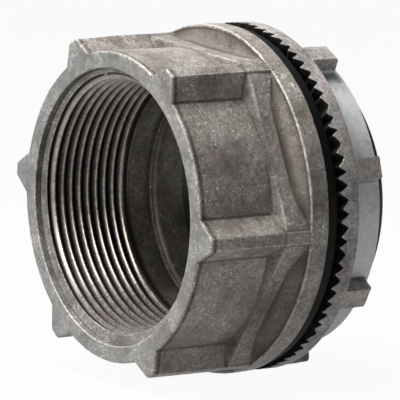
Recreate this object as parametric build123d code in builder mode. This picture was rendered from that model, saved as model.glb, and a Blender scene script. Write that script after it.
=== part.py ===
from build123d import *
from math import atan, degrees, radians, tan
import os

# Conduit hub for a 2 inch conduit entering an enclosure wall.
# The hub's axis runs along Y: the conduit screws in from the front, at -Y, and the nipple passes
# through the enclosure wall towards +Y. The origin is the centre of the flange's rear face, which
# seats on the wall. All lengths are in millimetres, and angles run from +X towards +Z.

# Hub body, along the axis
entry_depth = 30.6  # front face to the flange's rear face
flange_thickness = 4.7
hex_length = 6.6  # hexagonal section in front of the flange
nipple_length = 20.0

# Hub body, across the axis
conduit_radius = 30.15  # outside of a 2 inch conduit
mouth_clearance = 0.45
barrel_wall = 3.8  # at the mouth
hex_flat_step = 0.2  # barrel to a flat of the hexagon
hex_corner_step = 0.7  # the corners are turned down below the ribs' tops
flange_step = 0.6  # ribs' tops at the front to the flange's rim
nipple_wall = 2.3  # around the insulating throat
front_edge_break = 0.7
nipple_lead = 1.0  # chamfer on the nipple's end

# Ribs
rib_angles = (-6.4, 53.6, 112.2, 172.2, 233.8, 293.8)  # cast a little off the hexagon's corners
rib_rise = 4.3  # above the barrel, at the front
rib_rim_step = 0.1  # below the flange's rim, at the flange
rib_top_width = 2.8
rib_foot_width = 8.8

# Conduit entry: female thread, 11.5 threads per inch on a taper of 1 in 16
mouth_depth = 1.6
mouth_chamfer_depth = 0.9
thread_pitch = 25.4 / 11.5
thread_depth = 1.85  # conduit's outside to the thread's crest at the front face
groove_depth = 1.45
groove_lead_in = 0.4  # the groove starts this far inside the mouth
crest_flat = 0.25
thread_end = 23.3  # from the front face
thread_run_out = 1.2
thread_angle = 60
taper = 1 / 32  # of the radius
relief_length = 5.8  # smooth bore behind the thread
shoulder_length = 1.5  # the conduit's stop
throat_step = 1.95  # thread's crest at the front face to the throat

# Insulating throat, pressed into the nipple's end
liner_wall = 1.25
liner_seat_depth = 12.8  # from the nipple's end
liner_lip = 2.8  # past the nipple's end
liner_lip_inset = 0.5  # inside the nipple's outside
liner_lip_round = 0.7
liner_clearance = 0.05

# Sealing ring, let into the flange
ring_inset = 1.7  # nipple to the ring
ring_rim = 0.8  # ring to the flange's rim
ring_recess = 1.5
ring_proud = 2.9
ring_clearance = 0.05
ring_edge_round = 0.4

# Locknut
nut_gap = 0.15  # tooth tips to the sealing ring
nut_bore_clearance = 0.06
tooth_count = 80
tooth_height = 1.7
tooth_length = 5.7  # from the rim towards the axis
tooth_gap_share = 0.98  # of the spacing, the rest being the tooth's blunt tip
nut_ring_thickness = 3.6  # tooth roots to the ring's rear edge
nut_edge_break = 0.5
band_wall = 4.84
band_length = 9.1
lug_count = 8
lug_phase = 14.1
lug_width = 4.8
lug_inset = 0.4  # inside the nut's rim
lug_setback = 1.6  # short of the band's rear edge
lug_edge_round = 0.6

# Places along the axis
front = -entry_depth
chamfer_end = front + mouth_depth + mouth_chamfer_depth
thread_stop = front + thread_end
throat_start = thread_stop + relief_length
liner_front = nipple_length - liner_seat_depth
tooth_tip = ring_proud + nut_gap
tooth_floor = tooth_tip + tooth_height
nut_ring_rear = tooth_floor + nut_ring_thickness
band_rear = nut_ring_rear + band_length

# Radii
mouth_radius = conduit_radius + mouth_clearance
barrel_radius = mouth_radius + barrel_wall
rib_root = (barrel_radius + mouth_radius) / 2  # inside the barrel's wall
rib_radius = barrel_radius + rib_rise
hex_inner_radius = barrel_radius + hex_flat_step
hex_corner_radius = rib_radius - hex_corner_step
flange_radius = rib_radius + flange_step
thread_crest_radius = conduit_radius - thread_depth
throat_radius = thread_crest_radius - throat_step
liner_radius = throat_radius + liner_wall
nipple_radius = liner_radius + nipple_wall
liner_lip_radius = nipple_radius - liner_lip_inset
ring_inner_radius = nipple_radius + ring_inset
ring_outer_radius = flange_radius - ring_rim
nut_radius = flange_radius
nut_bore_radius = nipple_radius + nut_bore_clearance
tooth_fade_radius = nut_radius - tooth_length
band_radius = nut_bore_radius + band_wall
lug_radius = nut_radius - lug_inset


def crest_radius(y):
    """Radius of the conduit thread's crest at a place along the axis."""
    return thread_crest_radius - (y - front) * taper


# Groove of the conduit thread, open to the mouth and running out before the relief
groove_start = front + groove_lead_in
groove_length = thread_stop - thread_run_out - groove_start
groove_overlap = 0.15  # the tool starts this far inside the open bore
groove_flank = tan(radians(thread_angle / 2))
groove_mouth = (thread_pitch - crest_flat) / 2
groove_lip = groove_mouth + groove_overlap * groove_flank
groove_root = groove_mouth - groove_depth * groove_flank
with BuildPart() as entry_groove:
    with BuildLine():
        entry_helix = Helix(
            pitch=thread_pitch,
            height=groove_length,
            radius=crest_radius(groove_start),
            center=(0, groove_start, 0),
            direction=(0, 1, 0),
            cone_angle=-degrees(atan(taper)),
        )
    helix_start = entry_helix @ 0
    away = Vector(helix_start.X, 0, helix_start.Z)
    with BuildSketch(Plane(origin=helix_start, x_dir=away, z_dir=entry_helix % 0)):
        Polygon(
            (-groove_overlap, -groove_lip),
            (-groove_overlap, groove_lip),
            (groove_depth, groove_root),
            (groove_depth, -groove_root),
            align=None,
        )
    sweep(path=entry_helix, is_frenet=True)

# Rib along +X, its top drafted down towards the front face
rib_tops = ((flange_thickness, flange_radius - rib_rim_step), (entry_depth, rib_radius))
with BuildPart() as rib:
    for distance, top in rib_tops:
        with BuildSketch(Plane.XZ.offset(distance)):
            Polygon(
                (rib_root, -rib_foot_width / 2),
                (barrel_radius, -rib_foot_width / 2),
                (top, -rib_top_width / 2),
                (top, rib_top_width / 2),
                (barrel_radius, rib_foot_width / 2),
                (rib_root, rib_foot_width / 2),
                align=None,
            )
    loft(ruled=True)

with BuildPart() as hub_body:
    # barrel, flange and nipple, with the stepped bore
    with BuildSketch(Plane.XY):
        with BuildLine():
            Polyline(
                (mouth_radius, front),
                (barrel_radius - front_edge_break, front),
                (barrel_radius, front + front_edge_break),
                (barrel_radius, -flange_thickness),
                (flange_radius, -flange_thickness),
                (flange_radius, 0),
                (nipple_radius, 0),
                (nipple_radius, nipple_length - nipple_lead),
                (nipple_radius - nipple_lead, nipple_length),
                (liner_radius + liner_clearance, nipple_length),
                (liner_radius + liner_clearance, liner_front),
                (throat_radius, liner_front),
                (throat_radius, throat_start + shoulder_length),
                (crest_radius(thread_stop), throat_start),
                (crest_radius(thread_stop), thread_stop),
                (crest_radius(chamfer_end), chamfer_end),
                (mouth_radius, front + mouth_depth),
                close=True,
            )
        make_face()
    revolve(axis=Axis.Y)

    # hexagonal section, a corner in line with the first rib
    with BuildSketch(Plane.XZ.offset(flange_thickness)):
        RegularPolygon(hex_inner_radius, 6, major_radius=False, rotation=rib_angles[0])
        Circle(hex_corner_radius, mode=Mode.INTERSECT)
        Circle(rib_root, mode=Mode.SUBTRACT)
    extrude(amount=hex_length)

    # ribs, from the flange to the front face
    add([rib.part.rotate(Axis.Y, -angle) for angle in rib_angles])

    # recess for the sealing ring in the flange's rear face
    with BuildSketch(Plane.XZ):
        Circle(ring_outer_radius + ring_clearance)
        Circle(ring_inner_radius - ring_clearance, mode=Mode.SUBTRACT)
    extrude(amount=ring_recess, mode=Mode.SUBTRACT)

    add(entry_groove.part, mode=Mode.SUBTRACT)

with BuildPart() as sealing_ring:
    with BuildSketch(Plane.XY) as ring_section:
        with BuildLine():
            Polyline(
                (ring_inner_radius, ring_clearance - ring_recess),
                (ring_outer_radius, ring_clearance - ring_recess),
                (ring_outer_radius, ring_proud),
                (ring_inner_radius, ring_proud),
                close=True,
            )
        make_face()
        fillet(ring_section.vertices().group_by(Axis.Y)[-1], radius=ring_edge_round)
    revolve(axis=Axis.Y)

with BuildPart() as insulating_throat:
    with BuildSketch(Plane.XY) as throat_section:
        with BuildLine():
            Polyline(
                (throat_radius, liner_front + liner_clearance),
                (liner_radius, liner_front + liner_clearance),
                (liner_radius, nipple_length + liner_clearance),
                (liner_lip_radius, nipple_length + liner_clearance),
                (liner_lip_radius, nipple_length + liner_lip),
                (throat_radius, nipple_length + liner_lip),
                close=True,
            )
        make_face()
        fillet(throat_section.vertices().group_by(Axis.Y)[-1], radius=liner_lip_round)
    revolve(axis=Axis.Y)

# Gap between two teeth: full size past the nut's rim, fading out towards the axis
gap_top = tooth_height + nut_gap
gap_half_width = tooth_gap_share * radians(180 / tooth_count) * nut_radius
fade_share = 0.1
with BuildPart() as tooth_gap:
    for distance, share in ((nut_radius + nut_gap, 1), (tooth_fade_radius, fade_share)):
        with BuildSketch(Plane.YZ.offset(distance)):
            Polygon(
                (tooth_floor, 0),
                (tooth_floor - gap_top * share, -gap_half_width * share),
                (tooth_floor - gap_top * share, gap_half_width * share),
                align=None,
            )
    loft(ruled=True)

with BuildPart() as locknut:
    with BuildSketch(Plane.XY):
        with BuildLine():
            Polyline(
                (nut_bore_radius, tooth_floor),
                (tooth_fade_radius, tooth_floor),
                (nut_radius, tooth_tip),
                (nut_radius, nut_ring_rear - nut_edge_break),
                (nut_radius - nut_edge_break, nut_ring_rear),
                (band_radius, nut_ring_rear),
                (band_radius, band_rear - nut_edge_break),
                (band_radius - nut_edge_break, band_rear),
                (nut_bore_radius, band_rear),
                close=True,
            )
        make_face()
    revolve(axis=Axis.Y)

    add(
        [tooth_gap.part.rotate(Axis.Y, 360 / tooth_count * step) for step in range(tooth_count)],
        mode=Mode.SUBTRACT,
    )

    # lugs behind the toothed ring
    with BuildSketch(Plane.XZ.offset(-nut_ring_rear)):
        with PolarLocations(0, lug_count, start_angle=lug_phase):
            Polygon(
                (nut_bore_radius + nut_edge_break, -lug_width / 2),
                (lug_radius - lug_edge_round, -lug_width / 2),
                (lug_radius, lug_edge_round - lug_width / 2),
                (lug_radius, lug_width / 2 - lug_edge_round),
                (lug_radius - lug_edge_round, lug_width / 2),
                (nut_bore_radius + nut_edge_break, lug_width / 2),
                align=None,
            )
    extrude(amount=lug_setback - band_length)

os.makedirs("parts", exist_ok=True)
hub_body.part.label = "hub_body"
export_step(hub_body.part, "parts/hub_body.step")
sealing_ring.part.label = "sealing_ring"
export_step(sealing_ring.part, "parts/sealing_ring.step")
insulating_throat.part.label = "insulating_throat"
export_step(insulating_throat.part, "parts/insulating_throat.step")
locknut.part.label = "locknut"
export_step(locknut.part, "parts/locknut.step")
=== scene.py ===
import math
import bmesh
import bpy
import numpy as np
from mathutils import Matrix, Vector, noise


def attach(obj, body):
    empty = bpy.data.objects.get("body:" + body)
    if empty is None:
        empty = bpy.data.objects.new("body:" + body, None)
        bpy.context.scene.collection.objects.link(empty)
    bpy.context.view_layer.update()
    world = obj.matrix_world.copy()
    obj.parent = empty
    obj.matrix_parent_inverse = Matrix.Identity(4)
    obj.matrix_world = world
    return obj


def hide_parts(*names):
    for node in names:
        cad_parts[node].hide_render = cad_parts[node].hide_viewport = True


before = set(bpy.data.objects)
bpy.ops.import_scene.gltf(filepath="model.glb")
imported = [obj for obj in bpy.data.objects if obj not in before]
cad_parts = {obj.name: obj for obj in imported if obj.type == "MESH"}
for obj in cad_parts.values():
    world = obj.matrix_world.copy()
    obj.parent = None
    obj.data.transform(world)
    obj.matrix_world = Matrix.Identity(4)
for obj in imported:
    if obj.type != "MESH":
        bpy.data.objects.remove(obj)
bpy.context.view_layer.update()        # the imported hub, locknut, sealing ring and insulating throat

mm = 0.001
print("frame loaded:", sorted(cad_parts))

# Lengths in this script are millimetres and angles are degrees from +X towards +Z.
# y runs along the hub's axis, and 0 is the flange's rear face.


# Small sums for shapes

def smoothMax(a, b, width):
    near = np.maximum(width - np.abs(a - b), 0) / width
    return np.maximum(a, b) + near * near * width / 4


def smoothMin(a, b, width):
    return -smoothMax(-a, -b, width)


def ease(value, start, end):
    t = np.clip((value - start) / (end - start), 0, 1)
    return t * t * (3 - 2 * t)


def offNearest(angles, middles):
    # degrees from the nearest of some features round the axis
    off = (angles[:, None] - np.array(middles)[None, :] + 180) % 360 - 180
    return off[np.arange(len(angles)), np.argmin(np.abs(off), axis=1)]


closestColumns = 0.09        # degrees; columns closer than this only make slivers


def columnAngles(evenCount, middles=(), offsets=()):
    # even columns round the axis, and more at some places off the middle of each feature
    wanted = [360 / evenCount * k for k in range(evenCount)]
    for middle in middles:
        for offset in offsets:
            wanted += [middle + offset, middle - offset]
    angles = np.sort(np.array(wanted) % 360)
    kept = [angles[0]]
    for angle in angles[1:]:
        if angle - kept[-1] > closestColumns:
            kept.append(angle)
    return np.array(kept)


bossRound = 0.45             # how softly a rib's top turns into its flanks


def boss(angles, height, topWidth, footWidth, footRadius):
    # radius of a straight-sided rib or lug seen along the axis, for angles off its middle
    off = np.radians(np.abs(angles))
    slope = (footWidth - topWidth) / 2 / (height - footRadius)
    top = height / np.cos(off)
    flank = (topWidth / 2 + height * slope) / (np.sin(off) + slope * np.cos(off))
    return smoothMin(top, flank, bossRound)


def straight(start, end, parts=1, guard=0.22):
    # rows from just after start to end, with one kept close to each so that the bright edges, partly wear and
    # partly a painted highlight, stay narrow
    wide, long = end[0] - start[0], end[1] - start[1]
    near = np.minimum(guard / np.maximum(np.hypot(wide, long), 0.001), 0.3)
    shares = [near] + [k / parts for k in range(1, parts)] + [1 - near, 1]
    return [(start[0] + wide * share, start[1] + long * share) for share in shares]


# A closed shell made of sheets that go round the axis

meshing = {
    "joined": 0.004,         # points nearer than this become one
    "shortest": 0.002,       # edges shorter than this go
    "waveFade": 1.5,         # of radius, over which a surface's waves grow to their full height
    "sharp": 38,             # degrees between faces that are shaded apart
    "wearAndSheen": (1.1, 1.2),      # one over the radius where outward bends start to wear and take a painted highlight, and the spread
    "hollowShade": (0.2, 0.5),      # the same for inward bends and painted shade
}


class Shell:
    def __init__(self, name, angles, finishes):
        self.name = name
        self.angles = angles
        self.finishes = finishes         # materials by name
        self.points = []
        self.quads = []
        self.numbers = []                # the finish of each quad
        self.grooves = []                # how deep the painted groove shade lies at each point, with some oil in the thread roots
        self.used = 0

    def finishNumbers(self, finish):
        # finish is one name, or one for every column
        names = list(self.finishes)
        return np.array([names.index(name) for name in np.broadcast_to(finish, self.angles.shape)])

    def addRows(self, rows, finish="main", groove=0.0):
        # rows is a list of (radius, y), each a number or one value for every column;
        # groove, the depth of the painted shade, is one number, or one for every row
        columns = len(self.angles)
        numbers = self.finishNumbers(finish)
        start = self.used
        turn = np.radians(self.angles)
        grooves = np.broadcast_to(groove, (len(rows),))
        for (radius, along), depth in zip(rows, grooves):
            radius = np.broadcast_to(np.asarray(radius, float), turn.shape)
            along = np.broadcast_to(np.asarray(along, float), turn.shape)
            self.points.append(np.stack([radius * np.cos(turn), along, radius * np.sin(turn)], 1))
            self.grooves.append(np.full(columns, depth))
        self.used += columns * len(rows)
        here = np.arange(columns)
        after = (here + 1) % columns
        for row in range(len(rows) - 1):
            low = start + row * columns
            high = low + columns
            self.quads.append(np.stack([low + here, low + after, high + after, high + here], 1))
            self.numbers.append(numbers)

    def addThread(self, radiusAt, low, high, section, offset=0.0):
        # a helical sheet between two places along the axis; section is where its rows lie in one pitch
        # and offset is how far, in pitches, the helix is turned back
        columns = len(self.angles)
        numbers = self.finishNumbers("thread")
        share = self.angles / 360
        each = len(section)
        firstTurn = math.floor(low / thread["pitch"]) - 2
        turns = math.ceil((high - low) / thread["pitch"]) + 5
        start = self.used
        turn = np.radians(self.angles)
        for row in range(turns * each):
            place = firstTurn + row // each + section[row % each]
            along = np.clip((place + share - offset) * thread["pitch"], low, high)
            radius = radiusAt(share, along)
            self.points.append(np.stack([radius * np.cos(turn), along, radius * np.sin(turn)], 1))
            # the thread's roots carry painted shade, with some oil
            self.grooves.append(grooveDepth(share, along, offset))
        self.used += columns * turns * each
        here = np.arange(columns - 1)
        for row in range((turns - 1) * each - 1):
            a = start + row * columns
            b = a + columns
            self.quads.append(np.stack([a + here, a + here + 1, b + here + 1, b + here], 1))
            last = columns - 1
            wrapA = a + each * columns
            wrapB = b + each * columns
            self.quads.append(np.array([[a + last, wrapA, wrapB, b + last]]))
            self.numbers.append(numbers)

    def make(self, wobble, wobbleFrom):
        # outside the radius wobbleFrom the surface waves by about wobble millimetres
        points = np.concatenate(self.points)
        quads = np.concatenate(self.quads)
        mesh = bpy.data.meshes.new(self.name)
        mesh.from_pydata(points * mm, [], quads.tolist())
        for finish in self.finishes.values():
            mesh.materials.append(finish)
        groove = mesh.attributes.new("groove", "FLOAT", "POINT")
        groove.data.foreach_set("value", np.concatenate(self.grooves))
        mesh.polygons.foreach_set("material_index", np.concatenate(self.numbers))
        work = bmesh.new()
        work.from_mesh(mesh)
        bmesh.ops.remove_doubles(work, verts=work.verts, dist=meshing["joined"] * mm)
        bmesh.ops.dissolve_degenerate(work, dist=meshing["shortest"] * mm, edges=work.edges)
        bmesh.ops.recalc_face_normals(work, faces=work.faces)
        work.to_mesh(mesh)
        work.free()
        mesh.shade_smooth()
        markEdges(mesh)
        for vert in mesh.vertices:
            radius = math.hypot(vert.co.x, vert.co.z) / mm
            share = min(max((radius - wobbleFrom) / meshing["waveFade"], 0), 1)
            if share > 0:
                out = Vector((vert.co.x, 0, vert.co.z)).normalized()
                vert.co += out * (castWave(vert.co / mm) * wobble * share * mm)
        mesh.set_sharp_from_angle(angle=math.radians(meshing["sharp"]))
        piece = bpy.data.objects.new(self.name, mesh)
        bpy.context.collection.objects.link(piece)
        print(self.name, "has", len(mesh.polygons), "faces")
        return piece


castWaves = {
    "broadPerMm": 0.11,
    "finePerMm": 0.55,
    "fineShift": (7, 3, 1),
    "broadShare": 0.7,
    "fineShare": 0.3,
    "inwards": 0.4,
}


def castWave(place):
    # broad and fine waves of a cast surface, lying mostly inside its drawn form
    broad = noise.noise(place * castWaves["broadPerMm"])
    fine = noise.noise(place * castWaves["finePerMm"] + Vector(castWaves["fineShift"]))
    return broad * castWaves["broadShare"] + fine * castWaves["fineShare"] - castWaves["inwards"]


def markEdges(mesh):
    # where the surface turns out tightly (wear and a painted highlight) or in (painted shade), from its
    # sharpest bend at each point
    count = len(mesh.vertices)
    place = np.empty(count * 3)
    mesh.vertices.foreach_get("co", place)
    place = place.reshape(-1, 3) / mm
    facing = np.empty(count * 3)
    mesh.vertex_normals.foreach_get("vector", facing)
    facing = facing.reshape(-1, 3)
    ends = np.empty(len(mesh.edges) * 2, int)
    mesh.edges.foreach_get("vertices", ends)
    ends = ends.reshape(-1, 2)
    one, other = ends[:, 0], ends[:, 1]
    step = place[other] - place[one]
    length = np.maximum(np.linalg.norm(step, axis=1), 0.03)     # shorter edges would read as sharp bends
    convex = np.zeros(count)
    hollow = np.zeros(count)
    for start, way in ((one, -1), (other, 1)):
        bend = 2 * way * np.einsum("ij,ij->i", facing[start], step) / length**2      # one over the radius
        np.maximum.at(convex, start, bend)
        np.maximum.at(hollow, start, -bend)
    for name, bend in (("wearAndSheen", convex), ("hollowShade", hollow)):
        least, spread = meshing[name]
        mark = mesh.attributes.new(name, "FLOAT", "POINT")
        mark.data.foreach_set("value", np.clip((bend - least) / spread, 0, 1))


# Threads, 11.5 to the inch; the nut's and the nipple's lie on one helix, so that they mesh

thread = {
    "pitch": 25.4 / 11.5,
    "crestFlat": 0.12,       # shares of the pitch
    "rootFlat": 0.14,
    "roundShare": 0.35,      # how much of its profile is eased, and how much straight
    "straightShare": 0.65,
}
# where a thread's rows lie in one pitch
sectionRows = [0.0, 0.06, 0.12, 0.26, 0.43, 0.5, 0.57, 0.74, 0.88, 0.94]


def grooveDepth(share, along, offset=0.0):
    # 0 on the crest and 1 at the root of a rounded V thread
    place = (along / thread["pitch"] - share + offset) % 1
    ridge = np.abs(place - 0.5) * 2                      # 1 on the crest, 0 at the root
    depth = 1 - np.clip((ridge - thread["rootFlat"]) / (1 - thread["crestFlat"] - thread["rootFlat"]), 0, 1)
    eased = depth * depth * (3 - 2 * depth)
    return eased * thread["roundShare"] + depth * thread["straightShare"]


# Shader maths written as sums

class Value:
    def __init__(self, finish, socket):
        self.finish = finish
        self.socket = socket

    def __add__(self, other):
        return self.finish.calc("ADD", self, other)

    def __radd__(self, other):
        return self.finish.calc("ADD", other, self)

    def __sub__(self, other):
        return self.finish.calc("SUBTRACT", self, other)

    def __rsub__(self, other):
        return self.finish.calc("SUBTRACT", other, self)

    def __mul__(self, other):
        return self.finish.calc("MULTIPLY", self, other)

    def __rmul__(self, other):
        return self.finish.calc("MULTIPLY", other, self)


class Finish:
    def __init__(self, name, **constants):
        self.material = bpy.data.materials.new(name)
        self.material.use_nodes = True
        self.tree = self.material.node_tree
        self.shader = self.tree.nodes["Principled BSDF"]
        for key, number in constants.items():
            self.shader.inputs[key.replace("_", " ")].default_value = number
        self.place = self.add("ShaderNodeTexCoord", output="Object")

    def add(self, kind, settings=None, output=0, **inputs):
        node = self.tree.nodes.new(kind)
        for key, setting in (settings or {}).items():
            setattr(node, key, setting)
        for key, source in inputs.items():           # a socket by its number, such as i0, or by its name
            number = key[1:]
            socket = node.inputs[int(number) if number.isdigit() else key.replace("_", " ")]
            self.feed(socket, source)
        return Value(self, node.outputs[output])

    def feed(self, socket, source):
        if isinstance(source, Value):
            self.tree.links.new(source.socket, socket)
        else:
            socket.default_value = source

    def calc(self, operation, first, second):
        return self.add("ShaderNodeMath", {"operation": operation}, i0=first, i1=second)

    def noiseAt(self, perMm, detail=3.0, roughness=0.55, shift=(0, 0, 0), distortion=0.0):
        moved = self.add("ShaderNodeVectorMath", {"operation": "ADD"}, i0=self.place, i1=shift)
        return self.add("ShaderNodeTexNoise", Vector=moved, Scale=perMm / mm, Detail=detail,
                        Roughness=roughness, Distortion=distortion)

    def between(self, value, low, high):
        # 0 at low and 1 at high, also where low is the greater
        settings = {"interpolation_type": "SMOOTHSTEP"}
        return self.add("ShaderNodeMapRange", settings, Value=value, i1=low, i2=high)

    def blend(self, factor, first, second):
        return self.add("ShaderNodeMix", {"data_type": "RGBA"}, output=2, i0=factor, i6=first, i7=second)

    def attribute(self, name):
        return self.add("ShaderNodeAttribute", {"attribute_name": name}, output="Fac")

    def bump(self, height, strength, depthMm):
        return self.add("ShaderNodeBump", Height=height, Strength=strength, Distance=depthMm * mm)

    def use(self, **links):
        for key, source in links.items():
            self.feed(self.shader.inputs[key.replace("_", " ")], source)


def colour(*rgb):
    return (*rgb, 1.0)


# Zinc castings: the colours of one, and how the others differ from it

castLook = {
    "dark": (0.092, 0.076, 0.062),
    "light": (0.290, 0.264, 0.238),
    "pink": (0.300, 0.215, 0.205),
    "green": (0.175, 0.192, 0.160),
    # bright edges, partly worn metal and partly a painted highlight; also the light strokes and haze
    "wornAndSheen": (0.560, 0.540, 0.510),
    # the colour of dark pits, and of the painted shade in hollows and grooves
    "grimeAndShade": (0.022, 0.016, 0.012),
}
# the mouth's wall and cone: darker colours than the casting's, painted shade
mouthShadeLook = castLook | {
    "dark": (0.062, 0.057, 0.052),
    "light": (0.200, 0.190, 0.178),
    "pink": (0.20, 0.16, 0.15),
}
# the long coves between the hexagon and the flange: darker colours, painted shade
coveShadeLook = castLook | {
    "dark": (0.058, 0.047, 0.038),
    "light": (0.168, 0.145, 0.124),
    "pink": (0.13, 0.10, 0.08),
    "wornAndSheen": (0.320, 0.290, 0.255),
}
faceLook = castLook | {
    "dark": (0.112, 0.109, 0.105),
    "light": (0.262, 0.255, 0.246),
    "pink": (0.24, 0.22, 0.21),
}
nutLook = castLook | {
    "dark": (0.066, 0.057, 0.053),
    "light": (0.400, 0.376, 0.362),
    "pink": (0.40, 0.30, 0.30),
    # near black: the colour of pits, and of the painted shade over the toothed face
    "grimeAndShade": (0.008, 0.007, 0.006),
}
# the lugs: lighter colours than the nut's ring, painted highlight on the raised lugs
lugLitLook = castLook | {
    "dark": (0.140, 0.125, 0.116),
    "light": (0.415, 0.395, 0.380),
}
bandLook = castLook | {
    "dark": (0.405, 0.417, 0.420),
    "light": (0.600, 0.616, 0.620),
    "pink": (0.52, 0.46, 0.45),
}
# inside the bore: darker colours, painted shade with some grime
boreShadeAndGrimeLook = castLook | {
    "dark": (0.046, 0.039, 0.031),
    "light": (0.130, 0.115, 0.096),
    "pink": (0.12, 0.09, 0.08),
}
threadLook = castLook | {
    "dark": (0.175, 0.155, 0.142),
    "light": (0.300, 0.278, 0.264),
    # pink and cream tints, brighter than the thread's light tone: painted highlights
    "pink": (0.480, 0.335, 0.315),
    "green": (0.450, 0.400, 0.285),
    "grimeAndShade": (0.014, 0.011, 0.010),
}

# how much of each layer covers the skin below it; the hollow and groove layers are painted shade
cover = {"tint": 0.45, "haze": 0.16, "hollowShade": 0.62, "groove": 0.97}
bumpDepth = {"casting": 0.25, "smooth": 0.05}


def castZinc(name, look, roughness, grain, flecks=0.7, pitting=0.7, metallic=0.2,
             grooveAt=(0.12, 0.75), edgeWearAndSheen=0.48, ragged=0.0):
    # flecks, pitting and the edge share are how strongly light strokes, pits and bright edges show, the edges
    # partly wear and partly a painted highlight; ragged breaks up the edge of the painted groove shade, and
    # grooveAt is where that shade begins and where it is full
    made = Finish(name, Metallic=metallic, Specular_IOR_Level=0.35)
    cloud = made.noiseAt(0.13, detail=4, roughness=0.6)
    patch = made.noiseAt(0.9, detail=5, roughness=0.7, shift=(0.3, 0.1, 0.7), distortion=0.6)
    fine = made.noiseAt(3.0, detail=3, roughness=0.7)
    speck = made.noiseAt(2.6, detail=2, roughness=0.6, shift=(0.5, 0, 0))
    stroke = made.noiseAt(0.6, detail=3, roughness=0.7, shift=(0.2, 0.6, 0.4), distortion=3.4)
    wornAndSheen, grimeAndShade = colour(*look["wornAndSheen"]), colour(*look["grimeAndShade"])

    # the bare skin, from dark to light, and its pink and green tints
    tone = made.between(cloud * 0.35 + patch * 0.43 + fine * 0.22, 0.35, 0.65)
    skin = made.blend(tone, colour(*look["dark"]), colour(*look["light"]))
    pink = made.between(made.noiseAt(0.21, detail=2, shift=(0.9, 0.4, 0)), 0.55, 0.75)
    skin = made.blend(pink * cover["tint"], skin, colour(*look["pink"]))
    green = made.between(made.noiseAt(0.27, detail=2, shift=(0, 0.8, 0.2)), 0.56, 0.76)
    skin = made.blend(green * cover["tint"], skin, colour(*look["green"]))

    # light strokes, broad pale haze and small pits
    flare = made.between(stroke, 0.575, 0.625) * made.between(cloud, 0.42, 0.56)
    skin = made.blend(flare * flecks, skin, wornAndSheen)
    haze = made.between(made.noiseAt(0.16, detail=2, shift=(0.1, 0.3, 0.2)), 0.50, 0.64)
    haze = haze * made.between(patch, 0.44, 0.62)
    skin = made.blend(haze * cover["haze"], skin, wornAndSheen)
    pits = made.between(speck, 0.385, 0.30)
    skin = made.blend(pits * pitting, skin, grimeAndShade)

    # outer edges brighter, partly rubbed wear and partly a painted highlight; painted shade in hollows, and
    # painted shade where a shell's rows carry it, with some oil in the thread roots
    edges = made.attribute("wearAndSheen")
    wearAndSheen = made.between(edges * 0.8 + (fine - 0.5) * 2.2 + (patch - 0.5) * 1.2, 0.30, 0.85)
    wearAndSheen = wearAndSheen * made.between(edges, 0.15, 0.45) * made.between(stroke, 0.32, 0.62)
    skin = made.blend(wearAndSheen * edgeWearAndSheen, skin, wornAndSheen)
    # painted shade in inward bends
    hollows = made.attribute("hollowShade")
    hollowShade = made.between(hollows * 0.8 + (patch - 0.5) * 1.1 + (cloud - 0.5) * 0.9, 0.10, 0.75)
    hollowShade = hollowShade * made.between(hollows, 0.02, 0.25)
    skin = made.blend(hollowShade * cover["hollowShade"], skin, grimeAndShade)
    # painted shade along the rows that carry it: thread roots, the toothed face, the hexagon's fall and the
    # line behind the front
    depth = made.attribute("groove")
    groove = made.between(depth + (fine - 0.5) * 0.1 + (stroke - 0.5) * depth * ragged, *grooveAt)
    skin = made.blend(groove * cover["groove"], skin, colour(*[part * 0.6 for part in look["grimeAndShade"]]))

    height = fine * 0.1 + speck * 0.1 - pits * 0.8 + patch * 0.7 + stroke * 0.6
    made.use(
        Base_Color=skin,
        Roughness=roughness + (patch - 0.5) * 0.4 - wearAndSheen * 0.1 + groove * 0.3,
        Normal=made.bump(height, grain, bumpDepth["casting"]),
    )
    return made.material


def rubberBlack(name):
    made = Finish(name, Metallic=0.0, Specular_IOR_Level=0.12)
    dust = made.noiseAt(0.8, detail=5, roughness=0.7)
    fine = made.noiseAt(4.0, detail=2)
    black, dusty = colour(0.002, 0.002, 0.002), colour(0.011, 0.011, 0.012)
    made.use(
        Base_Color=made.blend(made.between(dust, 0.5, 0.8) * 0.5, black, dusty),
        Roughness=0.6 + (dust - 0.5) * 0.3,
        Normal=made.bump(fine, 0.3, bumpDepth["smooth"]),
    )
    return made.material


def greenPlastic(name):
    made = Finish(name, Metallic=0.0, Specular_IOR_Level=0.35)
    cloud = made.noiseAt(0.3, detail=4)
    fine = made.noiseAt(4.0, detail=2)
    dark, light = colour(0.005, 0.016, 0.009), colour(0.012, 0.034, 0.018)
    made.use(
        Base_Color=made.blend(made.between(cloud, 0.35, 0.7), dark, light),
        Roughness=0.42 + (cloud - 0.5) * 0.3,
        Normal=made.bump(fine, 0.25, bumpDepth["smooth"]),
    )
    return made.material


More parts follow.
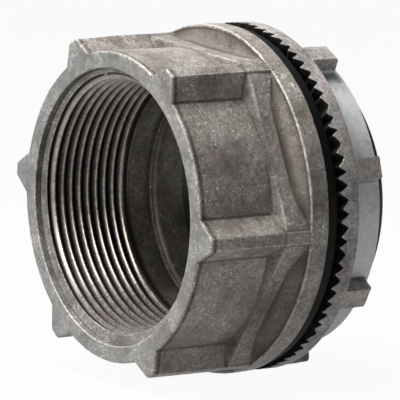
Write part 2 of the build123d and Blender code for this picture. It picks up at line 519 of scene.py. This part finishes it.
zincThread = castZinc("zinc_thread", threadLook, roughness=0.29, grain=0.06, flecks=0.2, pitting=0.0,
                      metallic=0.6, grooveAt=(0.32, 0.80))
hubFinishes = {
    "main": castZinc("zinc_body", castLook, roughness=0.46, grain=0.7, flecks=0.95, pitting=0.85, ragged=2.4),
    "thread": zincThread,
    "bore": castZinc("zinc_bore_shade_and_grime", boreShadeAndGrimeLook, roughness=0.45, grain=0.3, flecks=0.35),
    "mouth": castZinc("zinc_mouth_shaded", mouthShadeLook, roughness=0.5, grain=0.4),
    "face": castZinc("zinc_face", faceLook, roughness=0.44, grain=0.55),
    "coveShaded": castZinc("zinc_cove_shaded", coveShadeLook, roughness=0.5, grain=0.5, flecks=0.5),
}
nutFinishes = {
    "main": castZinc("zinc_nut", nutLook, roughness=0.5, grain=1.0, flecks=0.95, pitting=0.9, edgeWearAndSheen=0.9),
    "thread": zincThread,
    "band": castZinc("zinc_band", bandLook, roughness=0.50, grain=0.12, flecks=0.25, pitting=0.3),
    "lug": castZinc("zinc_lug_lit", lugLitLook, roughness=0.48, grain=0.7),
}
ringFinishes = {"main": rubberBlack("rubber_black")}
linerFinishes = {"main": greenPlastic("plastic_green")}
print("finishes made")


# Hub body, one casting

hub = {
    "columns": 180,
    "front": -30.6,
    "frontRound": 0.5,
    "barrelRadius": 34.4,
    "hexFront": -11.3,
    "hexFlat": 34.6,
    "hexCorner": 38.8,
    "hexCornerRound": 0.5,
    "hexBlend": 0.8,              # how softly the hexagon's front falls to the barrel
    "hexStepShade": 0.42,             # how dark the painted shade on that fall is
    "hexRibCove": 0.2,            # how softly the ribs meet the hexagon, and the barrel
    "barrelRibCove": 0.3,
    "ribAngles": (-6.4, 53.6, 112.2, 172.2, 233.8, 293.8),
    "ribHeights": (38.7, 39.2),   # at the front and at the flange
    "ribTop": 2.8,
    "ribFoot": 8.8,
    "flangeFront": -4.7,
    "flangeRadius": 39.3,
    "flangeRound": 0.38,
    "cove": 2.5,                  # along the axis, between the hexagon and the flange
    "coveShadedFrom": 0.8,           # a cove longer than this takes the darker finish, painted shade
    "recess": (31.55, 38.55, -1.5),           # inner and outer radius, and the floor's place
    # behind the front's round, and how dark: a painted line of shade round the barrel
    "shadeLineRows": ((1.3, 0), (0.8, 0.5), (0.3, 0.5), (0, 0.1)),
    "faceMiddle": 32.4,
    "mouthRadius": 30.6,
    "mouthRound": 0.3,
    "mouthEnd": -29.0,
    "chamferEnd": -28.1,
    "crestRadius": 28.3,
    "taper": 1 / 32,
    "threadDepth": 1.45,
    "threadEnd": -7.3,
    "threadStart": 0.57,          # share of a turn
    "threadFade": (2.4, 0.6),     # before its end, where the groove grows shallow and where it is gone
    "reliefEnd": -1.5,
    # inwards from the bore, and place: a small bead on the conduit's stop and the step to the throat
    "stopRows": ((0.10, -1.3), (0.34, -1.05), (0.42, -0.9), (0.30, -0.75), (0.45, -0.55), (0.75, -0.25)),
    "throatLead": ((0.22, -0.05), (0.06, 0.25)),          # outwards from the throat, and place
    "throatRadius": 26.35,
    "seatStart": 7.2,
    "seatRadius": 27.65,
    "nippleEnd": 20.0,
    "nippleRadius": 29.9,
    "nippleLead": 1.0,
    "nippleDepth": 1.2,
    "neckEnd": 4.0,               # the thread starts behind it
    "neckFade": 2.0,
    "wave": 0.16,
    "waveFrom": 31.0,
    # shares of the step from the flange's rim to the hexagon
    "roundShare": 0.8,
    "coveShare": 0.9,
    "faceShare": 0.92,
    # places along the axis of single rows
    "throatRows": (0.6, 2.4, 4.2),
    "seatRow": 13.0,
    "neckRow": 1.5,
}
# degrees off a rib's middle where its top, flanks and feet need columns
ribOffsets = [0.7, 1.5, 1.85, 2.0, 2.1, 2.2, 2.4, 2.9, 3.8, 4.8, 5.8, 6.7, 7.1, 7.3, 7.45, 7.6, 7.9, 8.7, 9.7]


def entryRadius(share, along):
    crest = hub["crestRadius"] - (along - hub["front"]) * hub["taper"]
    fadeStart, fadeEnd = hub["threadFade"]
    fade = 1 - ease(along, hub["threadEnd"] - fadeStart, hub["threadEnd"] - fadeEnd)
    thread = crest + grooveDepth(share, along, hub["threadStart"]) * hub["threadDepth"] * fade
    steep = (hub["mouthRadius"] - hub["crestRadius"]) / (hub["chamferEnd"] - hub["mouthEnd"])
    cone = hub["mouthRadius"] - (along - hub["mouthEnd"]) * steep
    return np.maximum(thread, cone)


def nippleRadius(share, along):
    fade = ease(along, hub["neckEnd"], hub["neckEnd"] + hub["neckFade"])
    thread = hub["nippleRadius"] - grooveDepth(share, along) * hub["nippleDepth"] * fade
    lead = hub["nippleRadius"] - (along - hub["nippleEnd"] + hub["nippleLead"])
    return np.minimum(thread, lead)


def arcRows(fromRadius, fromY, toRadius, toY, steps, hollow=False):
    # quarter round between two points, leaving the first one along the axis, or hollow the other way
    rows = []
    for k in range(steps + 1):
        turn = math.pi / 2 * k / steps
        a, b = (math.sin(turn), 1 - math.cos(turn)) if hollow else (1 - math.cos(turn), math.sin(turn))
        rows.append((fromRadius + (toRadius - fromRadius) * a, fromY + (toY - fromY) * b))
    return rows


def hubSections(angles):
    # the radius of the ribs, the ribbed hexagon and the ribbed barrel at a place along the axis
    off = offNearest(angles, hub["ribAngles"])
    corner = offNearest(angles, [hub["ribAngles"][0] + 60 * k for k in range(6)])
    flat = hub["hexFlat"] / np.cos(np.radians(30 - np.abs(corner)))
    plain = smoothMin(flat, hub["hexCorner"], hub["hexCornerRound"])

    def ribAt(along):
        drop = (along - hub["flangeFront"]) / (hub["front"] - hub["flangeFront"])
        low, high = hub["ribHeights"]
        return boss(off, high + (low - high) * drop, hub["ribTop"], hub["ribFoot"], hub["barrelRadius"])

    def hexAt(along):
        return smoothMax(plain, ribAt(along), hub["hexRibCove"])

    def barrelAt(along):
        rib = ribAt(along)
        return smoothMax(np.full_like(rib, hub["barrelRadius"]), rib, hub["barrelRibCove"])

    return hexAt, barrelAt


def addHubFlange(shell, hexagon):
    # from the recess in the rear face round the rim to the cove; gives the place where the hexagon starts.
    # Where the hexagon comes near the rim, the round and the cove shrink to fit.
    flange, face, rear = hub["flangeRadius"], hub["flangeFront"], hub["flangeRound"]
    rounded = np.minimum(hub["flangeRound"], (flange - hexagon) * hub["roundShare"])
    rows = [(hub["recess"][1], 0), (flange - rear, 0)]
    rows += arcRows(flange - rear, 0, flange, -rear, 4, hollow=True)[1:]
    rows += straight((flange, -rear), (flange, face + rounded), 5)
    rows += arcRows(flange, face + rounded, flange - rounded, face, 4)[1:]
    cove = np.minimum(hub["cove"], (flange - rounded - hexagon) * hub["coveShare"])
    inner = hexagon + (flange - rounded - hexagon) * hub["faceShare"]
    rows += straight((flange - rounded, face), (inner, face), 1)
    shell.addRows(rows)
    rows = arcRows(inner, face, hexagon, face - cove, 8, hollow=True)
    # a long cove takes the darker finish, painted shade
    shell.addRows(rows, finish=np.where(cove > hub["coveShadedFrom"], "coveShaded", "main"))
    return face - cove


def addHubBarrel(shell, hexagon, hexRear, hexAt, barrelAt):
    # the hexagon, its soft front, the ribbed barrel and the round into the front face, whose rim it gives
    front, blend = hub["hexFront"], hub["hexBlend"]
    hexFront, barrelRear = hexAt(front), barrelAt(front)
    rows = [(hexagon, hexRear)]
    rows += straight((hexagon, hexRear), (hexFront, front + blend), 3)
    shares = np.linspace(0.1, 1, 10)
    first = len(rows)
    for share in shares:
        along = front + blend * (1 - 2 * share)
        rows.append((hexFront + (barrelRear - hexFront) * ease(share, 0, 1), along))
    near = hub["front"] + hub["frontRound"]
    # a painted line of shade round the barrel, behind the front's round
    shadeLine = [(near + behind, dark) for behind, dark in hub["shadeLineRows"]]
    shadeLineStart = shadeLine[0][0]
    rows += straight((barrelRear, front - blend), (barrelAt(shadeLineStart), shadeLineStart), 9)
    grooves = np.zeros(len(rows))
    # painted shade on the hexagon's fall to the barrel
    grooves[first:first + len(shares)] = hub["hexStepShade"] * np.sin(shares * np.pi)
    shell.addRows(rows, groove=grooves)

    barrel = barrelAt(hub["front"])
    faceRim = barrel - hub["frontRound"]
    rows = [(barrelAt(y), y) for y, dark in shadeLine]
    grooves = [dark for y, dark in shadeLine]
    clean = arcRows(barrel, near, faceRim, hub["front"], 5)[1:]
    shell.addRows(rows + clean, groove=grooves + [0] * len(clean))
    return faceRim


def addHubMouth(shell, faceRim):
    # the front face, the mouth's wall and the cone that runs into the thread
    turns = shell.angles / 360
    front, mouth, middle = hub["front"], hub["mouthRadius"], hub["faceMiddle"]
    edge = hub["mouthRound"]
    rows = [(faceRim, front)]
    rows += straight((faceRim, front), (middle, front), 4)
    rows += straight((middle, front), (mouth + edge, front), 1)
    rows += arcRows(mouth + edge, front, mouth, front + edge, 3, hollow=True)[1:]
    shell.addRows(rows, finish="face")
    rows = [(mouth, front + edge)]
    rows += straight((mouth, front + edge), (mouth, hub["mouthEnd"]), 1)
    shell.addRows(rows, finish="mouth")
    steep = np.linspace(hub["mouthEnd"], hub["chamferEnd"], 9)
    shell.addRows([(entryRadius(turns, np.full_like(turns, y)), y) for y in steep], finish="mouth")


def addHubBore(shell):
    # behind the thread: the smooth relief, the conduit's stop, the throat and the liner's seat
    turns = shell.angles / 360
    bore = hub["crestRadius"] - (hub["threadEnd"] - hub["front"]) * hub["taper"]
    throat, seat, end = hub["throatRadius"], hub["seatRadius"], hub["nippleEnd"]
    rows = [(bore, y) for y in np.linspace(hub["threadEnd"], hub["reliefEnd"], 5)]
    rows += [(bore - inwards, y) for inwards, y in hub["stopRows"]]
    rows += [(throat + outwards, y) for outwards, y in hub["throatLead"]]
    rows += [(throat, y) for y in (*hub["throatRows"], hub["seatStart"])]
    rows += [(seat, y) for y in (hub["seatStart"], hub["seatRow"], end)]
    rows += [(nippleRadius(turns, np.full_like(turns, end)), end)]
    # the bore's darker finish is painted shade with some grime
    shell.addRows(rows, finish="bore")


def makeHub():
    angles = columnAngles(hub["columns"], hub["ribAngles"], ribOffsets)
    shell = Shell("hub_casting", angles, hubFinishes)
    hexAt, barrelAt = hubSections(angles)
    hexagon = hexAt(hub["flangeFront"])
    hexRear = addHubFlange(shell, hexagon)
    faceRim = addHubBarrel(shell, hexagon, hexRear, hexAt, barrelAt)
    addHubMouth(shell, faceRim)
    shell.addThread(entryRadius, hub["chamferEnd"], hub["threadEnd"], sectionRows, hub["threadStart"])
    addHubBore(shell)
    shell.addThread(nippleRadius, hub["neckEnd"], hub["nippleEnd"], sectionRows[::2])
    inside, outside, floor = hub["recess"]
    rows = [(hub["nippleRadius"], y) for y in (hub["neckEnd"], hub["neckRow"], 0)]
    rows += [(inside, 0), (inside, floor), ((inside + outside) / 2, floor), (outside, floor), (outside, 0)]
    shell.addRows(rows)

    piece = shell.make(hub["wave"], hub["waveFrom"])
    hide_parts("hub_body")
    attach(piece, "hub")


makeHub()


# Locknut, one casting

nut = {
    "columns": 640,
    "toothTip": 3.05,
    "toothFloor": 4.75,
    "gapFloor": 5.3,             # at the rim, where the cast gaps are deepest
    "toothCount": 80,
    "toothFade": 33.6,           # the radius where the teeth run out
    "toothLean": 0.20,           # shares of the spacing, each way
    "toothTall": (0.58, 1.0),    # shares of the full height, from tooth to tooth
    "toothBlunt": 1.10,
    "toothHollow": 1.5,
    "radius": 39.3,
    "rimBevel": (0.06, 0.05),    # of the toothed face, outwards and along the axis
    "ringRear": 8.35,
    "edge": 0.45,
    "foot": 0.3,                 # cove between the ring's rear face, the band and the lugs
    "bandRadius": 34.8,
    "bandRear": 17.45,
    "bandEdge": 0.35,
    "lugCount": 8,
    "lugPhase": 14.1,
    "lugWidth": 4.8,
    "lugFlare": 0.45,            # wider at its foot
    "lugCove": 0.3,
    "lugRadius": 38.9,
    "lugRear": 15.85,
    "lugRound": 1.0,
    "lugSink": 0.3,              # share of its height lost over the round
    "lugEndRows": ((0.35, 0.02), (0.04, 0.12)),          # shares of its height, and places behind its rear
    "lugReach": 4.15,            # degrees each side of a lug that have its finish
    "boreRadius": 29.96,
    "boreGap": 0.05,
    "threadDepth": 0.5,          # the ridges clear the liner's lip when the nut is run back
    "threadFade": (1.6, 0.2),    # before the rear face, where the ridges sink and where they are gone
    "wave": 0.14,
    "waveFrom": 33.0,
    "seed": 11,
    "floorFlat": 1.2,            # of the toothed face, beside the bore
    "toothRows": (0.15, 0.3, 0.45, 0.6, 0.75, 0.88, 0.96),
    "footGap": 0.05,             # between a lug's foot and the ring's edge, at least
    "bandStart": 0.2,            # behind the lugs' rear
}
# degrees off a lug's middle where its top, flanks and feet need columns
lugOffsets = [1.0, 2.4, 3.1, 3.35, 3.5, 3.65, 3.8, 3.95, 4.1, 4.3, 4.9]


def nutBore(share, along):
    # the nut's ridges stand in the nipple's grooves, half a pitch from its crests
    fadeStart, fadeEnd = nut["threadFade"]
    fromFront = ease(along, nut["toothFloor"], nut["toothFloor"] + fadeStart)
    fromRear = 1 - ease(along, nut["bandRear"] - fadeStart, nut["bandRear"] - fadeEnd)
    ridge = grooveDepth(share, along) * nut["threadDepth"] * np.minimum(fromFront, fromRear)
    return nut["boreRadius"] + nut["boreGap"] - ridge


def toothShape(angles):
    # 0 in a gap and 1 at a tooth's point, each tooth a little different
    pick = np.random.default_rng(nut["seed"])
    spacing = 360 / nut["toothCount"]
    number = np.floor(angles / spacing).astype(int) % nut["toothCount"]
    place = angles / spacing - np.floor(angles / spacing)
    lean = 0.5 + pick.uniform(-nut["toothLean"], nut["toothLean"], nut["toothCount"])[number]
    tall = pick.uniform(*nut["toothTall"], nut["toothCount"])[number]
    rise = np.where(place < lean, place / lean, (1 - place) / (1 - lean))
    return np.clip(rise * nut["toothBlunt"], 0, 1) ** nut["toothHollow"] * tall


def addNutTeeth(shell, bore):
    # the toothed front face; gives the face's place at the rim
    tooth = toothShape(shell.angles)
    tip, floor, fade = nut["toothTip"], nut["toothFloor"], nut["toothFade"]
    deeper = nut["gapFloor"] - floor
    atRim = nut["gapFloor"] - (nut["gapFloor"] - tip) * tooth
    out, along = nut["rimBevel"]
    rows = [(bore, floor), (bore + nut["floorFlat"], floor), (fade, floor)]
    for share in nut["toothRows"]:
        radius = fade + (nut["radius"] - fade) * share
        lowest = floor + deeper * share
        rows.append((radius, lowest - (lowest - tip) * share * tooth))
    rows.append((nut["radius"] - out, atRim + along))
    # the whole toothed face is painted near black: painted shade
    shell.addRows(rows, groove=1)
    return atRim


def addNutRing(shell, atRim, withLugs):
    # the rim, the ring's rear face and the cove at the foot of the band and lugs
    radius, edge, ringRear, foot = nut["radius"], nut["edge"], nut["ringRear"], nut["foot"]
    out, along = nut["rimBevel"]
    rows = [(radius - out, atRim + along), (radius, atRim + 2 * along)]
    rows += straight((radius, atRim + 2 * along), (radius, np.full_like(atRim, ringRear - edge)), 5)
    rows += arcRows(radius, ringRear - edge, radius - edge, ringRear, 3)[1:]
    footRadius = np.minimum(withLugs + foot, radius - edge - nut["footGap"])
    rows += straight((radius - edge, ringRear), (footRadius, ringRear), 1)
    rows += arcRows(footRadius, ringRear, withLugs, ringRear + foot, 3, hollow=True)[1:]
    shell.addRows(rows)


def addNutLugs(shell, off, band, withLugs):
    # the band with its lugs, as far as the lugs' rear ends; gives the last row
    rear, rounded = nut["lugRear"], nut["lugRound"]
    above = withLugs - band
    start = nut["ringRear"] + nut["foot"]
    rows = [(withLugs, start)]
    rows += straight((withLugs, start), (withLugs, rear - rounded), 5)
    for k in range(1, 7):
        turn = math.pi / 2 * k / 6
        sink = above * (1 - math.cos(turn)) * nut["lugSink"]
        rows.append((withLugs - sink, rear - rounded + math.sin(turn) * rounded))
    rows += [(band + above * share, rear + behind) for share, behind in nut["lugEndRows"]]
    shell.addRows(rows, finish=np.where(np.abs(off) < nut["lugReach"], "lug", "band"))
    return rows[-1]


def addNutBand(shell, lugEnd, bore):
    # the bare end of the band and the nut's rear face
    radius, rear, edge = nut["bandRadius"], nut["bandRear"], nut["bandEdge"]
    rows = [lugEnd]
    rows += straight((radius, nut["lugRear"] + nut["bandStart"]), (radius, rear - edge), 1)
    rows += arcRows(radius, rear - edge, radius - edge, rear, 3)[1:]
    rows += straight((radius - edge, rear), (bore, rear), 3)
    shell.addRows(rows, finish="band")


def makeNut():
    lugs = [nut["lugPhase"] + 360 / nut["lugCount"] * k for k in range(nut["lugCount"])]
    shell = Shell("locknut_casting", columnAngles(nut["columns"], lugs, lugOffsets), nutFinishes)
    off = offNearest(shell.angles, lugs)
    lug = boss(off, nut["lugRadius"], nut["lugWidth"], nut["lugWidth"] + nut["lugFlare"], nut["bandRadius"])
    band = np.full_like(lug, nut["bandRadius"])
    withLugs = smoothMax(band, lug, nut["lugCove"])
    bore = nut["boreRadius"] + nut["boreGap"]
    atRim = addNutTeeth(shell, bore)
    addNutRing(shell, atRim, withLugs)
    lugEnd = addNutLugs(shell, off, band, withLugs)
    addNutBand(shell, lugEnd, bore)
    shell.addThread(nutBore, nut["toothFloor"], nut["bandRear"], sectionRows[::2])

    piece = shell.make(nut["wave"], nut["waveFrom"])
    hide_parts("locknut")
    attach(piece, "locknut")


makeNut()


# Sealing ring, in the flange's recess

ring = {
    "columns": 220,
    "inner": 31.6,
    "outer": 38.5,
    "middle": 35.0,
    "front": -1.45,
    "rear": 2.9,
    "round": 0.4,
    "wave": 0.05,
    "waveFrom": 37.0,
    "outerRows": (-0.6, 0.4, 1.4),
}


def makeSealingRing():
    shell = Shell("sealing_ring_rubber", columnAngles(ring["columns"]), ringFinishes)
    inner, outer, middle, edge = ring["inner"], ring["outer"], ring["middle"], ring["round"]
    front, rear = ring["front"], ring["rear"]
    rows = [(inner, front), (middle, front), (outer, front)]
    rows += [(outer, y) for y in (*ring["outerRows"], rear - edge)]
    rows += arcRows(outer, rear - edge, outer - edge, rear, 4)[1:]
    rows += [(middle, rear), (inner + edge, rear)]
    rows += arcRows(inner + edge, rear, inner, rear - edge, 4, hollow=True)[1:]
    rows += [(inner, 0.5), (inner, front)]
    shell.addRows(rows)
    piece = shell.make(ring["wave"], ring["waveFrom"])
    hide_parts("sealing_ring")
    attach(piece, "hub")


makeSealingRing()


# Insulating throat, in the nipple's end

liner = {
    "columns": 220,
    "front": 7.25,
    "inner": 26.35,
    "outer": 27.6,
    "shoulder": 20.05,
    "rear": 22.8,
    "lip": 29.4,
    "round": 0.7,
    "wave": 0.03,
    "waveFrom": 28.5,
    "innerRows": (10.0, 15.0),
    "lipRow": 21.0,
    "outerRow": 12.0,
}


def makeThroat():
    shell = Shell("insulating_throat_liner", columnAngles(liner["columns"]), linerFinishes)
    inner, outer, lip, edge = liner["inner"], liner["outer"], liner["lip"], liner["round"]
    front, shoulder, rear = liner["front"], liner["shoulder"], liner["rear"]
    rows = [(inner, y) for y in (front, *liner["innerRows"], rear - edge)]
    rows += arcRows(inner, rear - edge, inner + edge, rear, 5)[1:]
    rows += [(lip - edge, rear)]
    rows += arcRows(lip - edge, rear, lip, rear - edge, 5, hollow=True)[1:]
    rows += [(lip, liner["lipRow"]), (lip, shoulder), (outer, shoulder)]
    rows += [(outer, liner["outerRow"]), (outer, front), (inner, front)]
    shell.addRows(rows)
    piece = shell.make(liner["wave"], liner["waveFrom"])
    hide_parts("insulating_throat")
    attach(piece, "hub")


makeThroat()
print("sealing ring and throat made")


# Camera at the photograph's angle, worked out from the hub's front rim

view = {
    "azimuth": 54.74,
    "elevation": 7.04,
    "distance": 690.1,            # to the plane of the front rim's centre
    "focalPixels": 3150.0,
    "imagePixels": 400,
    "frontCentrePixel": (109.4, 207.5),
    "sensorWidth": 36,
    "clip": (0.01, 20),           # metres
}


def makeCamera():
    # back points from the object to the camera; azimuth 0 looks along +Y and grows towards +X
    around, above = math.radians(view["azimuth"]), math.radians(view["elevation"])
    back = Vector((math.sin(around) * math.cos(above), -math.cos(around) * math.cos(above), math.sin(above)))
    turned = (-back).to_track_quat("-Z", "Y")
    right, up = turned @ Vector((1, 0, 0)), turned @ Vector((0, 1, 0))
    middle = view["imagePixels"] / 2
    aside = (middle - view["frontCentrePixel"][0]) / view["focalPixels"] * view["distance"]
    higher = (view["frontCentrePixel"][1] - middle) / view["focalPixels"] * view["distance"]
    data = bpy.data.cameras.new("camera")
    data.sensor_width = view["sensorWidth"]
    data.lens = view["focalPixels"] / view["imagePixels"] * data.sensor_width
    data.clip_start, data.clip_end = view["clip"]
    camera = bpy.data.objects.new("camera", data)
    rimCentre = Vector((0, hub["front"], 0))
    camera.location = (rimCentre + back * view["distance"] + right * aside + up * higher) * mm
    camera.rotation_mode = "QUATERNION"
    camera.rotation_quaternion = turned
    bpy.context.collection.objects.link(camera)
    bpy.context.scene.camera = camera
    return right, up, back


cameraRight, cameraUp, cameraBack = makeCamera()


# Floor, backdrop, lamps and a dim surround

studio = {
    "floorZ": -39.4,
    "reach": 3000,
    "floorColour": (0.30, 0.30, 0.30),
    "floorGlow": 0.95,             # how far the floor's own white hides its shadow from the camera
    "ambient": 0.08,
    "backdropShare": 0.6,         # of the reach, how far the backdrop stands behind
}


def whiteFinish(name, glow):
    # white to the camera, to gloss and through glass, and plain pale to the light that falls on the object
    made = Finish(name, Roughness=0.9)
    made.use(Base_Color=colour(*studio["floorColour"]))
    seen = made.add("ShaderNodeLightPath", output="Is Camera Ray")
    gloss = made.add("ShaderNodeLightPath", output="Is Glossy Ray")
    clear = made.add("ShaderNodeLightPath", output="Is Transmission Ray")
    factor = made.calc("MAXIMUM", made.calc("MAXIMUM", seen, gloss), clear) * glow
    white = made.add("ShaderNodeEmission", Color=colour(1, 1, 1), Strength=1.0)
    plain = Value(made, made.shader.outputs[0])
    made.feed(made.tree.nodes["Material Output"].inputs["Surface"],
              made.add("ShaderNodeMixShader", i0=factor, i1=plain, i2=white))
    return made.material


def makeSheet(name, corners, finish):
    mesh = bpy.data.meshes.new(name)
    mesh.from_pydata([Vector(corner) * mm for corner in corners], [], [(0, 1, 2, 3)])
    mesh.materials.append(finish)
    sheet = bpy.data.objects.new(name, mesh)
    bpy.context.collection.objects.link(sheet)


def makeStage():
    reach, low = studio["reach"], studio["floorZ"]
    corners = [(-reach, -reach, low), (reach, -reach, low), (reach, reach, low), (-reach, reach, low)]
    makeSheet("floor", corners, whiteFinish("floor_white", studio["floorGlow"]))
    behind = Vector((-cameraBack.x, -cameraBack.y, 0)).normalized() * reach * studio["backdropShare"]
    aside = Vector((cameraRight.x, cameraRight.y, 0)) * reach
    bottom, top = Vector((0, 0, low - 1)), Vector((0, 0, reach))
    corners = [behind - aside + bottom, behind + aside + bottom, behind + aside + top, behind - aside + top]
    makeSheet("backdrop", corners, whiteFinish("backdrop_white", 1.0))


def makeLamp(name, side, height, front, size, watts):
    # places are camera-side millimetres: to the right, up, and towards the camera
    data = bpy.data.lights.new(name, "AREA")
    data.shape = "RECTANGLE"
    data.size, data.size_y = size[0] * mm, size[1] * mm
    data.energy = watts
    lamp = bpy.data.objects.new(name, data)
    place = (cameraRight * side + cameraUp * height + cameraBack * front) * mm
    lamp.location = place
    lamp.rotation_mode = "QUATERNION"
    lamp.rotation_quaternion = (-place).to_track_quat("-Z", "Y")
    bpy.context.collection.objects.link(lamp)


def makeWorld():
    world = bpy.data.worlds.new("surround")
    bpy.context.scene.world = world
    world.use_nodes = True
    nodes, links = world.node_tree.nodes, world.node_tree.links
    background = nodes["Background"]
    background.inputs["Color"].default_value = colour(1, 1, 1)
    strength = nodes.new("ShaderNodeMapRange")        # white to the camera and dim to the object
    strength.inputs["To Min"].default_value = studio["ambient"]
    strength.inputs["To Max"].default_value = 1.0
    links.new(nodes.new("ShaderNodeLightPath").outputs["Is Camera Ray"], strength.inputs["Value"])
    links.new(strength.outputs["Result"], background.inputs["Strength"])


makeStage()
makeWorld()
makeLamp("key_above", side=-210, height=620, front=110, size=(420, 360), watts=11.2)
makeLamp("left_front", side=-520, height=170, front=390, size=(300, 300), watts=3.2)
makeLamp("right_low", side=420, height=-20, front=520, size=(200, 400), watts=0.3)
bpy.context.scene.view_settings.view_transform = "Standard"
print("camera, floor and lamps made")
